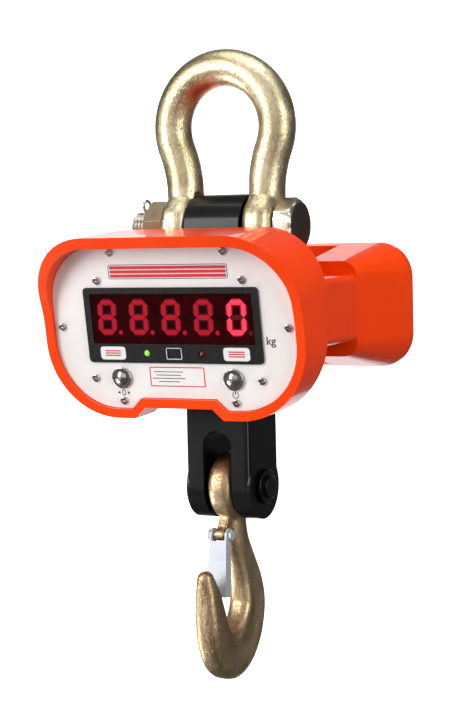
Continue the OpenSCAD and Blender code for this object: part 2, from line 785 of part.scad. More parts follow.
module hook_bar() {
    last = len(hook_path) - 1;
    tip = hook_path[last][2];
    rings = concat([for (k = [0:last]) hook_ring(k)],
                   [hook_ring(last, cos(35), tip * sin(35)), hook_ring(last, cos(65), tip * sin(65))]);
    n = len(rings);
    m = hook_sides;
    polyhedron(
        points = [for (r = rings, q = r) q],
        faces = concat(
            [for (k = [0:n - 2], s = [0:m - 1]) let (t = (s + 1) % m)
                [k * m + s, k * m + t, (k + 1) * m + t]],
            [for (k = [0:n - 2], s = [0:m - 1]) let (t = (s + 1) % m)
                [k * m + s, (k + 1) * m + t, (k + 1) * m + s]],
            [[for (s = [m - 1:-1:0]) s]],
            [[for (s = [0:m - 1]) (n - 1) * m + s]]));
}

module hook() {
    color("tan") from_bolt() difference() {
        union() {
            hook_bar();
            translate([-eye_width / 2, 0, -pin_drop]) rotate([0, 90, 0]) rounded_disc(eye_radius, eye_width, 6);
            // lug that carries the latch
            translate([0, latch_pivot[0], latch_pivot[1]]) rod_x(4.2, -lug_half, lug_half);
            rotate([90, 0, 90]) linear_extrude(2 * lug_half, center = true)
                polygon([[latch_pivot[0], latch_pivot[1] - 4.2], [0, latch_pivot[1] - 6], [0, -208],
                         [-13, -208], [latch_pivot[0] - 2.6, latch_pivot[1] + 3.3]]);
        }
        translate([0, 0, -pin_drop]) rod_x(clevis_pin_diameter / 2 + fine, -20, 20);
        translate([0, latch_pivot[0], latch_pivot[1]]) rod_x(1.9, -20, 20);
    }
}

latch_reach = norm(latch_low - latch_pivot);
latch_angle = atan2(latch_low[0] - latch_pivot[0], latch_pivot[1] - latch_low[1]);

// The latch's own axes: origin on its bolt, -z down the plate, +y into the hook's mouth.
module on_latch() {
    from_bolt() translate([0, latch_pivot[0], latch_pivot[1]]) rotate([latch_angle, 0, 0]) children();
}

module latch_plate() {
    color("lightgray") on_latch() difference() {
        union() {
            translate([0, -4.6, 0]) rotate([90, 0, 0]) linear_extrude(latch_sheet, center = true)
                polygon([[-cheek_out, latch_top], [cheek_out, latch_top],
                         [cheek_out + 1.6, -latch_reach], [-cheek_out - 1.6, -latch_reach]]);
            both_sides() {
                translate([cheek_in, 0, 0]) rod_x(5.2, 0, latch_sheet);
                translate([cheek_in, -5.3, -11]) cube([latch_sheet, 8.3, 11]);
                // flange down the side, leaning out with the plate's edge
                translate([cheek_in, 0, latch_top]) rotate([0, -2.2, 0]) translate([0, 0, -latch_top])
                    rotate([90, 0, 90]) linear_extrude(latch_sheet)
                        polygon([[-5.3, latch_top], [2.2, latch_top], [3.7, -latch_reach], [-5.3, -latch_reach]]);
            }
        }
        rod_x(2 + fine, -12, 12);
    }
}

module latch_bolt() {
    color("silver") on_latch() {
        rod_x(1.9 - fine, -cheek_out - 2.6, cheek_out + 1);
        translate([cheek_out + 0.1, 0, 0]) hex_rod_x(7, 0, 2.6, 0.4);
    }
}

module latch_nut() {
    color("silver") on_latch() difference() {
        mirror([1, 0, 0]) translate([cheek_out + 0.1, 0, 0]) hex_rod_x(7, 0, 2.8, 0.4);
        rod_x(1.9, -15, 0);
    }
}

module latch_spring() {
    color("silver") on_latch() both_sides() for (k = [0:1])
        translate([lug_half + 0.45 + 0.78 * k, 0, 0]) rotate([0, 90, 0])
            rotate_extrude() translate([3.1, 0]) circle(0.34);
}

shackle_bow();
shackle_bolt();
shackle_nut();
shackle_cotter_pin();
load_cell();
gauge_covers();
gauge_cable();
mounting_brackets();
bracket_screws();
housing_casting();
top_seal();
bottom_seal();
panel_gasket();
front_panel();
panel_screws();
display_bezel();
display_lens();
led_digits();
display_board();
board_standoffs();
board_screws();
main_board();
steady_led();
infrared_window();
tare_led();
button_bezels();
button_switches();
tare_button();
power_button();
battery();
battery_strap();
rear_gasket();
rear_cover();
cover_screws();
charge_socket();
lower_race();
bearing_balls();
upper_race();
swivel_stem();
swivel_nut();
swivel_split_pin();
clevis_fork();
clevis_pin();
pin_washer();
pin_circlip();
hook();
latch_plate();
latch_bolt();
latch_nut();
latch_spring();
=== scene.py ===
# Crane scale: finishes, softened castings, forged shackle and hook, printed panel, studio.
# Lengths are millimetres, and places are from the shackle bolt's axis. The finishes' own lengths and
# the studio's lamps and paper are in metres.
import json
import math

import bmesh
import bpy
from mathutils import Matrix, Vector


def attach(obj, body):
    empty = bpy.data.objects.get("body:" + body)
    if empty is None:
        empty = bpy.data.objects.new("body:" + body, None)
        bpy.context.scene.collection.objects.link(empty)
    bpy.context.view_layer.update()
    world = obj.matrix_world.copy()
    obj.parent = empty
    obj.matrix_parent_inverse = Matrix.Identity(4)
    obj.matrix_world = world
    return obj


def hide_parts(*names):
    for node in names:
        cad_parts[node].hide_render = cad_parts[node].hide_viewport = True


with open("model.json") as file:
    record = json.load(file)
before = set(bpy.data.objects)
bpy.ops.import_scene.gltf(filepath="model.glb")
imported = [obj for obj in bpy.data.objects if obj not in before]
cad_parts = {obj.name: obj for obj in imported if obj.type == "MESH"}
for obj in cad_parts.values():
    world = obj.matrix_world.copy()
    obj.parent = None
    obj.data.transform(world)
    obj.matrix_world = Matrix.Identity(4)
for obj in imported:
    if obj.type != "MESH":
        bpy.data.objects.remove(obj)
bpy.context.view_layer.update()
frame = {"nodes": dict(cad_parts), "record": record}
MM = 0.001
BOLT = Vector((0, 0, -104))
AROUND = math.radians(28)  # from the scale's front round to the camera
LEAN = math.radians(8.7)  # of the front panel's foot, back under its top
PANEL = BOLT + Vector((0, -86.7, -70.4))
UP_PANEL = Vector((0, -math.sin(LEAN), math.cos(LEAN)))
OUT_PANEL = Vector((0, -math.cos(LEAN), -math.sin(LEAN)))


# ---- camera ----

def stand_camera():
    """A camera off to the right of the front, a little above the scale."""
    down, roll = math.radians(3.894), math.radians(-1.353)
    far, aside, lower = 1495.97, 0.357, 96.01
    level = Vector((math.cos(AROUND), math.sin(AROUND), 0))
    back = Vector((-math.sin(AROUND), math.cos(AROUND), 0))
    ahead = back * math.cos(down) - Vector((0, 0, math.sin(down)))
    above = level.cross(ahead)
    right = math.cos(roll) * level + math.sin(roll) * above
    top = math.cos(roll) * above - math.sin(roll) * level
    place = BOLT - far * ahead - aside * right - lower * top
    data = bpy.data.cameras.new("studio_camera")
    data.lens = 101.41
    data.sensor_width = 36
    data.clip_end = 20
    camera = bpy.data.objects.new("studio_camera", data)
    bpy.context.scene.collection.objects.link(camera)
    turn = Matrix((right, top, -ahead)).transposed().to_4x4()
    camera.matrix_world = Matrix.Translation(place * MM) @ turn
    bpy.context.scene.camera = camera


stand_camera()


# ---- finishes ----

class Wire:
    """An output of a node; sums on it add Math nodes."""

    def __init__(self, finish, socket):
        self.finish = finish
        self.socket = socket

    def sum(self, operation, *values):
        return self.finish.add("ShaderNodeMath", {"operation": operation}, *values)

    def __add__(self, other):
        return self.sum("ADD", self, other)

    def __radd__(self, other):
        return self.sum("ADD", other, self)

    def __sub__(self, other):
        return self.sum("SUBTRACT", self, other)

    def __rsub__(self, other):
        return self.sum("SUBTRACT", other, self)

    def __mul__(self, other):
        return self.sum("MULTIPLY", self, other)

    def __rmul__(self, other):
        return self.sum("MULTIPLY", other, self)

    def between(self, low, high, out_low=0.0, out_high=1.0):
        settings = {"interpolation_type": "SMOOTHSTEP"}
        return self.finish.add("ShaderNodeMapRange", settings, self, low, high, out_low, out_high)


class Finish:
    """One material: a Principled shader and the nodes that feed it."""

    def __init__(self, name, **sockets):
        self.material = bpy.data.materials.new(name)
        self.material.use_nodes = True
        self.nodes = self.material.node_tree.nodes
        self.links = self.material.node_tree.links
        self.shader = next(n for n in self.nodes if n.type == "BSDF_PRINCIPLED")
        self.set(**sockets)

    def set(self, **sockets):
        for name, value in sockets.items():
            self.plug(self.shader.inputs[name.replace("_", " ").title().replace("Ior", "IOR")], value)
        return self

    def plug(self, socket, value):
        if isinstance(value, Wire):
            self.links.new(value.socket, socket)
        elif socket.type == "RGBA" and len(value) == 3:
            socket.default_value = (*value, 1)
        else:
            socket.default_value = value

    def add(self, kind, settings=None, *values, out=0, **named):
        node = self.nodes.new(kind)
        for name, value in (settings or {}).items():
            setattr(node, name, value)
        for socket, value in zip(node.inputs, values):
            if value is not None:
                self.plug(socket, value)
        for name, value in named.items():
            self.plug(node.inputs[name], value)
        return Wire(self, node.outputs[out])

    def place(self):
        return self.add("ShaderNodeTexCoord", out="Object")

    def axes(self):
        node = self.add("ShaderNodeSeparateXYZ", None, self.place()).socket.node
        return [Wire(self, s) for s in node.outputs]

    def noise(self, scale, detail=4.0, rough=0.55, where=None):
        return self.add("ShaderNodeTexNoise", None, Vector=where or self.place(), Scale=scale,
                        Detail=detail, Roughness=rough)

    def stretched(self, scale, stretch):
        where = self.add("ShaderNodeVectorMath", {"operation": "MULTIPLY"}, self.place(), stretch)
        return self.noise(scale, where=where)

    def pits(self, scale):
        return self.add("ShaderNodeTexVoronoi", None, Vector=self.place(), Scale=scale)

    def mixed(self, share, first, second):
        settings = {"data_type": "RGBA"}
        return self.add("ShaderNodeMix", settings, share, *[None] * 5, first, second, out=2)

    def bump(self, height, depth, strength):
        relief = self.add("ShaderNodeBump", None, Strength=strength, Distance=depth, Height=height)
        return self.set(normal=relief)


def orange_coat():
    f = Finish("orange_coat", coat_roughness=0.05, specular_ior_level=0.12)
    drift = f.noise(9).between(0.3, 0.7)
    peel = f.noise(420, 2)
    grime = f.noise(38, 6, 0.7).between(0.62, 0.82)
    color = f.mixed(drift, (0.88, 0.046, 0.0008), (0.95, 0.060, 0.001))
    f.set(base_color=f.mixed(grime * 0.16, color, (0.45, 0.02, 0.003)))
    f.set(roughness=0.3 + 0.1 * drift + 0.12 * grime, coat_weight=0.4 - 0.2 * grime)
    return f.bump(peel + 0.3 * f.noise(1500, 1), 0.00012, 0.35)


def forged_zinc(name, low, high, dark, rough, grain, depth):
    f = Finish(name, metallic=1.0)
    cloud = f.noise(34, 6, 0.62).between(0.35, 0.68)
    speck = f.noise(grain, 5, 0.65)
    spots = f.noise(grain * 1.7, 3, 0.7).between(0.52, 0.66)
    stain = f.noise(75, 5, 0.7).between(0.52, 0.72)
    color = f.mixed(cloud, low, high)
    color = f.mixed(spots * 0.4, color, dark)
    f.set(base_color=f.mixed(stain * 0.6, color, dark), roughness=rough + 0.18 * speck + 0.14 * stain)
    return f.bump(speck * 0.7 + cloud * 0.4 - 0.3 * spots, depth, 0.6)


def machined(name, color, dark, rough=0.25, along=(1, 1, 1), metal=1.0):
    f = Finish(name, metallic=metal)
    lines = f.stretched(900, along)
    smear = f.noise(60, 5, 0.65).between(0.45, 0.7)
    f.set(base_color=f.mixed(smear * 0.5, color, dark), roughness=rough + 0.14 * smear + 0.1 * lines)
    return f.bump(lines, 0.00006, 0.3)


def bolt_steel():
    f = Finish("bolt_steel", metallic=1.0)
    x = f.axes()[0]  # the bolt lies along it, its head at the far end
    face = x.between(0.0612, 0.0616)
    thread = x.between(-0.062, -0.058, 1, 0)
    lines = f.stretched(700, (6, 1, 1))
    smear = f.noise(90, 6, 0.7).between(0.4, 0.68)
    color = f.mixed(smear, (0.60, 0.55, 0.45), (0.40, 0.35, 0.27))
    color = f.mixed(face * 0.93, color, (0.055, 0.045, 0.038))
    f.set(base_color=f.mixed(thread * 0.5, color, (0.40, 0.36, 0.30)))
    f.set(roughness=0.27 + 0.12 * smear + 0.22 * face + 0.05 * lines)
    return f.bump(lines + smear * 0.4, 0.0001, 0.4)


def black_coat():
    f = Finish("black_coat", specular_ior_level=0.16, coat_roughness=0.1)
    drift = f.noise(40, 5, 0.6)
    scuff = f.noise(160, 6, 0.75).between(0.66, 0.82)
    f.set(base_color=f.mixed(scuff * 0.25, (0.0022, 0.0022, 0.0025), (0.02, 0.019, 0.018)))
    f.set(roughness=0.3 + 0.16 * drift + 0.2 * scuff, coat_weight=0.2 - 0.17 * scuff)
    return f.bump(f.noise(500, 3) + drift * 0.4, 0.0001, 0.4)


def plain(name, first, second, scale, rough, depth=0.00008, spread=0.1, **sockets):
    f = Finish(name, **sockets)
    speck = f.noise(scale, 5, 0.6)
    f.set(base_color=f.mixed(speck.between(0.35, 0.65), first, second), roughness=rough + spread * speck)
    return f.bump(speck, depth, 0.4)


def panel_film():
    f = Finish("panel_film", specular_ior_level=0.45)
    drift = f.noise(14, 3).between(0.3, 0.7)
    dust = f.noise(700, 4, 0.7).between(0.6, 0.8)
    color = f.mixed(drift, (0.765, 0.735, 0.715), (0.80, 0.772, 0.755))
    f.set(base_color=f.mixed(dust * 0.08, color, (0.5, 0.46, 0.43)), roughness=0.36 + 0.1 * drift)
    return f.bump(f.noise(1800, 2), 0.00003, 0.3)


def circuit():
    f = Finish("circuit", specular_ior_level=0.5)
    tracks = f.add("ShaderNodeTexBrick", None, Vector=f.place(), Scale=170.0, out="Fac")
    pads = f.pits(380).between(0.12, 0.2, 1, 0)
    color = f.mixed(tracks * 0.6, (0.01, 0.10, 0.035), (0.02, 0.19, 0.07))
    f.set(base_color=f.mixed(pads * 0.7, color, (0.55, 0.45, 0.2)), roughness=0.35 + 0.15 * tracks)
    return f.bump(tracks, 0.00005, 0.4)


def lit(name, color, glow, strength, rough=0.25, gloss=0.5):
    f = Finish(name, emission_color=glow, emission_strength=strength, specular_ior_level=gloss)
    speck = f.noise(500, 3)
    dull = tuple(c * 0.6 for c in color)
    f.set(base_color=f.mixed(speck * 0.3, color, dull), roughness=rough + 0.1 * speck)
    return f.bump(speck, 0.00003, 0.3)


STEEL, SHADE = (0.56, 0.54, 0.51), (0.30, 0.28, 0.25)
FINISHES = {
    "orange_paint": orange_coat(),
    "yellow_zinc": forged_zinc("yellow_zinc", (0.46, 0.38, 0.22), (0.72, 0.63, 0.43),
                               (0.18, 0.125, 0.06), rough=0.21, grain=420, depth=0.0006),
    "gold_brown_hook": forged_zinc("gold_brown", (0.46, 0.32, 0.18), (0.72, 0.55, 0.34),
                                   (0.20, 0.12, 0.065), rough=0.24, grain=480, depth=0.0007),
    "bright_steel": machined("bright_steel", STEEL, SHADE),
    "brown_steel": machined("brown_steel", (0.33, 0.25, 0.165), (0.15, 0.105, 0.065), 0.33),
    "zinc_plate": machined("zinc_plate", (0.50, 0.53, 0.58), (0.36, 0.38, 0.43), 0.36,
                           along=(1, 1, 0.15), metal=0.22),
    "chrome": machined("chrome", (0.50, 0.46, 0.43), (0.16, 0.13, 0.115), 0.14),
    "black_steel": black_coat(),
    "black_rubber": plain("black_rubber", (0.012, 0.012, 0.012), (0.03, 0.03, 0.03), 320, 0.62),
    "black_plastic": plain("black_plastic", (0.0055, 0.0055, 0.006), (0.010, 0.010, 0.011), 420, 0.24),
    "grey_cable": plain("grey_cable", (0.16, 0.16, 0.17), (0.24, 0.24, 0.25), 500, 0.5),
    "white_panel": panel_film(),
    "red_lens": plain("red_lens", (0.016, 0.0002, 0.0008), (0.028, 0.0004, 0.001), 60, 0.06,
                      depth=0.00002, spread=0.03, specular_ior_level=0.2),
    "digit_plastic": plain("digit_plastic", (0.02, 0.017, 0.017), (0.04, 0.035, 0.035), 400, 0.5),
    "green_board": circuit(),
    "green_led": lit("green_led", (0.22, 0.52, 0.05), (0.30, 0.85, 0.06), 0.55),
    "dark_red_led": plain("dark_red_led", (0.10, 0.006, 0.008), (0.16, 0.01, 0.012), 300, 0.22),
    "battery_grey": plain("battery_grey", (0.035, 0.045, 0.065), (0.06, 0.07, 0.09), 240, 0.45),
}
PRINT = {
    "red": plain("print_red", (0.52, 0.012, 0.018), (0.60, 0.018, 0.025), 500, 0.38),
    "dark": plain("print_dark", (0.045, 0.04, 0.045), (0.075, 0.07, 0.07), 500, 0.4),
    # white print, also used for the painted highlight along the lens's lower edge
    "white": plain("print_white_and_painted_highlight", (0.70, 0.69, 0.68), (0.78, 0.77, 0.76), 500, 0.36),
    "grey": plain("print_grey", (0.40, 0.38, 0.38), (0.50, 0.48, 0.47), 500, 0.4),
}
LIT = lit("digit_lit", (0.30, 0.005, 0.012), (1.0, 0.045, 0.10), 1.25, 0.5, 0.1)
# unlit digit bars and points: a painted faint glow
UNLIT_PAINTED_GLOW = lit("digit_unlit_painted_glow", (0.03, 0.0003, 0.001), (0.60, 0.001, 0.022), 0.75, 0.5, 0.1)
# the nought's unlit bar and point: a fainter painted glow
OFF_PAINTED_GLOW = lit("digit_off_painted_glow", (0.03, 0.0005, 0.002), (0.3, 0.001, 0.008), 0.25, 0.5, 0.1)
# halo around the unlit digits: a painted glow
UNLIT_HALO_PAINTED_GLOW = lit("digit_unlit_halo_painted_glow", (0.02, 0.0002, 0.0005), (0.12, 0.0, 0.002), 0.3, 0.5, 0.1)
BRIGHT_HALO = lit("digit_bright_halo", (0.02, 0.0002, 0.0005), (0.42, 0.0, 0.010), 0.7, 0.5, 0.1)

slot_of = {s["node"]: s["material_slot"] for s in frame["record"]["subparts"]}
body_of = {n: b for b, nodes in frame["record"]["behaviour"]["bodies"].items() for n in nodes}


def dress(thing, finish):
    thing.data.materials.clear()
    thing.data.materials.append(finish.material)


for node, thing in frame["nodes"].items():
    dress(thing, FINISHES[slot_of[node]])


# ---- making pieces ----

def shade(mesh, angle):
    """Smooth all over, but for edges sharper than the angle, in degrees."""
    mesh.polygons.foreach_set("use_smooth", [True] * len(mesh.polygons))
    mesh.set_sharp_from_angle(angle=math.radians(angle))


def settle(thing, angle):
    """Applies the piece's modifiers and, given an angle, shades it smooth but for its sharp edges."""
    bpy.context.view_layer.update()
    graph = bpy.context.evaluated_depsgraph_get()
    mesh = bpy.data.meshes.new_from_object(thing.evaluated_get(graph))
    thing.modifiers.clear()
    thing.data = mesh
    if angle:
        shade(mesh, angle)
    return thing


def piece(name, points, faces, scale=MM):
    mesh = bpy.data.meshes.new(name)
    mesh.from_pydata([tuple(Vector(p) * scale) for p in points], [], faces)
    mesh.validate()
    thing = bpy.data.objects.new(name, mesh)
    bpy.context.scene.collection.objects.link(thing)
    return thing


def stand_for(thing, node, finish=None):
    """Finishes a piece that takes a CAD node's place."""
    dress(thing, finish or FINISHES[slot_of[node]])
    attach(thing, body_of[node])
    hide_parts(node)
    return thing


def softened(node, width, steps=2):
    """A copy of a CAD node with its sharp edges rounded."""
    corner, flat, weld = math.radians(32), math.radians(0.7), 2e-6
    thing = piece(node + "_rounded", [], [])
    shape = bmesh.new()
    shape.from_mesh(frame["nodes"][node].data)
    bmesh.ops.remove_doubles(shape, verts=shape.verts, dist=weld)
    bmesh.ops.dissolve_limit(shape, angle_limit=flat, verts=shape.verts, edges=shape.edges)
    shape.to_mesh(thing.data)
    shape.free()
    shade(thing.data, 32)
    bevel = thing.modifiers.new("round", "BEVEL")
    bevel.width = width * MM
    bevel.segments = steps
    bevel.limit_method = "ANGLE"
    bevel.angle_limit = corner
    bevel.use_clamp_overlap = True
    bevel.harden_normals = True
    thing.modifiers.new("even", "WEIGHTED_NORMAL").keep_sharp = True
    settle(thing, None)
    return stand_for(thing, node)


def skin(name, rings, closed=False):
    """A tube through rings of points, its ends capped."""
    size, count = len(rings[0]), len(rings)
    points = [p for ring in rings for p in ring]
    faces = []
    for k in range(count if closed else count - 1):
        a, b = k * size, (k + 1) % count * size
        faces += [(a + s, a + (s + 1) % size, b + (s + 1) % size, b + s) for s in range(size)]
    if not closed:
        faces += [tuple(range(size - 1, -1, -1)), tuple((count - 1) * size + s for s in range(size))]
    return piece(name, points, faces)


def lathe(name, profile, origin, axis, turns=64):
    """A profile of (radius, distance along the axis) turned about an axis."""
    axis = Vector(axis).normalized()
    side = axis.orthogonal().normalized()
    other = axis.cross(side)
    rings = []
    for k in range(turns):
        a = math.tau * k / turns
        out = math.cos(a) * side + math.sin(a) * other
        rings.append([Vector(origin) + axis * h + out * r for r, h in profile])
    return skin(name, rings, closed=True)


def joined(name, parts):
    """One piece from several, each kept as it is."""
    points, faces = [], []
    for part in parts:
        start = len(points)
        points += [v.co / MM for v in part.data.vertices]
        faces += [tuple(start + v for v in f.vertices) for f in part.data.polygons]
        bpy.data.objects.remove(part)
    return piece(name, points, faces)


def fused(name, parts, voxel, rounds):
    """Melts closed parts into one smooth forging."""
    thing = joined(name, parts)
    remesh = thing.modifiers.new("join", "REMESH")
    remesh.mode = "VOXEL"
    remesh.voxel_size = voxel * MM
    smooth = thing.modifiers.new("smooth", "SMOOTH")
    smooth.factor = 0.5
    smooth.iterations = rounds
    return settle(thing, 60)


def cut(thing, tool):
    """Takes the tool's shape out of a piece."""
    step = thing.modifiers.new("cut", "BOOLEAN")
    step.object = tool
    step.solver = "EXACT"
    settle(thing, 50)
    bpy.data.objects.remove(tool)
    return thing


def rod(name, radius, middle, half, turns=64):
    """A plain cylinder along x."""
    length = 2 * half
    profile = [(0.01, 0), (radius, 0), (radius, length), (0.01, length)]
    return lathe(name, profile, middle - Vector((half, 0, 0)), (1, 0, 0), turns)


def catmull(points, steps):
    """A smooth run through a table of rows."""
    rows = []
    last = len(points) - 1
    for k in range(last):
        a, b, c, d = (points[max(k - 1, 0)], points[k], points[k + 1], points[min(k + 2, last)])
        for s in range(steps):
            t = s / steps
            rows.append([0.5 * (2 * q + (r - p) * t + (2 * p - 5 * q + 4 * r - w) * t * t
                                + (3 * q - 3 * r + w - p) * t ** 3)
                         for p, q, r, w in zip(a, b, c, d)])
    return rows + [list(points[-1])]


# ---- shackle ----

# The bar's radius, the crown's inner height, the arch's radius and how far it wraps below its middle.
BAR, CROWN, ARCH, WRAP = 14.0, 104.0, 43.8, math.radians(22)
# The ears' inner and outer faces and radius, and the bolt's radius.
EAR_IN, EAR_OUT, EAR_R, SHANK = 23.05, 45.65, 27.0, 12.5


def shackle_line():
    """The middle of the bow's bar, from the left ear over the crown to the right ear."""
    middle = (EAR_IN + EAR_OUT) / 2
    bend = (ARCH * math.cos(WRAP) - middle) / (1 - math.cos(WRAP))
    centre = CROWN + BAR - ARCH
    foot = centre - (ARCH + bend) * math.sin(WRAP)
    half = [(middle, z) for z in (-2, 6, 14)]
    half += [(middle + bend * (1 - math.cos(a)), foot + bend * math.sin(a))
             for a in (WRAP * k / 12 for k in range(12))]
    half += [(ARCH * math.cos(a), centre + ARCH * math.sin(a))
             for a in (-WRAP + (math.pi / 2 + WRAP) * k / 40 for k in range(41))]
    return [(-x, z) for x, z in half] + [(x, z) for x, z in reversed(half[:-1])]


def shackle_bow():
    line = shackle_line()
    foot, edge, flat = 44, 8.5, 26.2
    rings = []
    for k, (x, z) in enumerate(line):
        x0, z0 = line[max(k - 1, 0)]
        x1, z1 = line[min(k + 1, len(line) - 1)]
        out = Vector((z1 - z0, 0, x0 - x1)).normalized()
        near = max(0.0, 1 - max(z, 0) / foot)
        wide = Vector((0, BAR * (1 + 0.42 * near ** 2.2), 0))
        thin = out * BAR * (1 - 0.14 * near ** 1.5)
        middle = BOLT + Vector((x, 0, z))
        rings.append([middle + thin * math.cos(a) + wide * math.sin(a)
                      for a in (math.tau * s / 40 for s in range(40))])
    parts = [skin("bar", rings)]
    thick = EAR_OUT - EAR_IN
    for side in (-1, 1):
        profile = [(0.01, 0)] + [(EAR_R - edge + edge * math.sin(a), edge - edge * math.cos(a))
                                 for a in (math.pi / 2 * k / 8 for k in range(9))]
        profile += [(r, thick - h) for r, h in reversed(profile)]
        parts.append(lathe("ear", profile, BOLT + Vector((side * EAR_IN, 0, 0)), (side, 0, 0), 72))
    bow = fused("shackle_bow_forged", parts, 1.15, 7)
    cut(bow, rod("tool", SHANK + 0.4, BOLT, 60))
    # the ears' inner faces are milled flat beside the load cell
    for v in bow.data.vertices:
        x, y, z = v.co / MM - BOLT
        if abs(x) < EAR_IN and math.hypot(y, z) < flat:
            v.co.x = math.copysign(EAR_IN, x) * MM
    return stand_for(bow, "shackle_bow")


def shackle_bolt():
    """Shank with a rolled thread at one end and a chamfered hexagon head at the other."""
    pitch, depth = 3.0, 1.1
    tip, chamfer, thread_end, under_head = -76.6, -75, -44.5, 46
    rings = []
    x = tip
    while x < under_head:
        ring = []
        for s in range(60):
            a = math.tau * s / 60
            r = SHANK
            if x < thread_end:
                wave = abs(((x / pitch + s / 60) % 1) * 2 - 1)
                r = SHANK - 0.4 - depth * wave
            if x < chamfer:
                r = min(r, 10.0 + 1.3 * (x - tip))
            ring.append(BOLT + Vector((x, r * math.cos(a), r * math.sin(a))))
        rings.append(ring)
        x += 0.5 if x < thread_end + 0.5 else 6
    shank = skin("shank", rings)
    flats = 18.0
    corner = flats / math.cos(math.pi / 6)
    rings = []
    # how far the turned faces stand out past the flats, from under the head to its end
    for x, grow in ((45.85, -1.85), (46.9, 0.75), (48, 2.75), (58.4, 2.75), (60.1, 0.95), (61.1, -0.55),
                    (61.65, -1.65)):
        ring = []
        for s in range(96):
            a = math.tau * s / 96
            side = (a + math.pi / 6) % (math.pi / 3) - math.pi / 6
            r = min(flats / math.cos(side), flats + grow, corner - 0.25)
            ring.append(BOLT + Vector((x, r * math.cos(a), r * math.sin(a))))
        rings.append(ring)
    head = skin("head", rings)
    bolt = settle(joined("shackle_bolt_threaded", (shank, head)), 30)
    return stand_for(bolt, "shackle_bolt", bolt_steel())


def wire(name, points, radius, sides=14, steps=5):
    """Round wire bent through points."""
    line = [Vector(p) for p in catmull(points, steps)]
    rings = []
    side = (line[1] - line[0]).orthogonal().normalized()
    for k, p in enumerate(line):
        ahead = (line[min(k + 1, len(line) - 1)] - line[max(k - 1, 0)]).normalized()
        side = (side - ahead * side.dot(ahead)).normalized()
        other = ahead.cross(side)
        rings.append([p + radius * (math.cos(a) * side + math.sin(a) * other)
                      for a in (math.tau * s / sides for s in range(sides))])
    return skin(name, rings)


def cotter_pin():
    """Two legs through the bolt, spread below it and joined by a round eye above."""
    low, high, x, apart, eye = -19.0, 13.2, -68.65, 0.9, 3.7
    leg = [(5.0, low - 3.2), (1.0, low), (0.4, low + 6), (0.4, high - 2)]
    path = [(x + apart, y, z) for y, z in leg]
    for k in range(9):
        a = math.tau * (k + 1) / 10
        aside = apart * math.cos(math.pi * k / 8)
        path.append((x + aside, eye * math.sin(a), high + 3.9 - eye * math.cos(a)))
    path += [(x - apart, -y, z) for y, z in reversed(leg)]
    pin = wire("cotter_pin_bent", [BOLT + Vector(p) for p in path], 1.15)
    return stand_for(settle(pin, 60), "shackle_cotter_pin")


shackle_bow()
shackle_bolt()
cotter_pin()
softened("shackle_nut", 0.7, 3)


# ---- castings and plates ----

for name, width in (("housing_casting", 1.3), ("rear_cover", 1.2), ("clevis_fork", 1.5),
                    ("load_cell", 1.4), ("display_bezel", 0.5), ("clevis_pin", 0.5),
                    ("latch_plate", 0.45), ("charge_socket", 0.3)):
    softened(name, width, 3 if width > 1 else 2)


# ---- hook ----

# Down the bar: y and z of its middle, and half its thickness in the hook's plane and across it.
HOOK = [(0, -207, 14, 9.0), (0.5, -222, 11, 8.6), (4, -238, 11.5, 8.8), (11, -255, 13, 9.6),
        (17, -271, 14.5, 10.6), (18.6, -288, 15.6, 11.3), (12, -304.5, 17.2, 11.6),
        (-0.2, -317, 18.2, 11.7),
        (-14, -321, 18.6, 11.5), (-27, -315.8, 16.8, 11), (-35.8, -302.5, 14, 10.4),
        (-40, -287, 11.5, 9.8), (-43, -272.5, 9, 8.6), (-46.4, -260, 6.6, 6.6)]
LATCH_PIVOT = BOLT + Vector((0, -20.5, -229.5))
PIN = BOLT + Vector((0, 0, -194.4))


def clamped(share):
    return min(1.0, max(0.0, share))


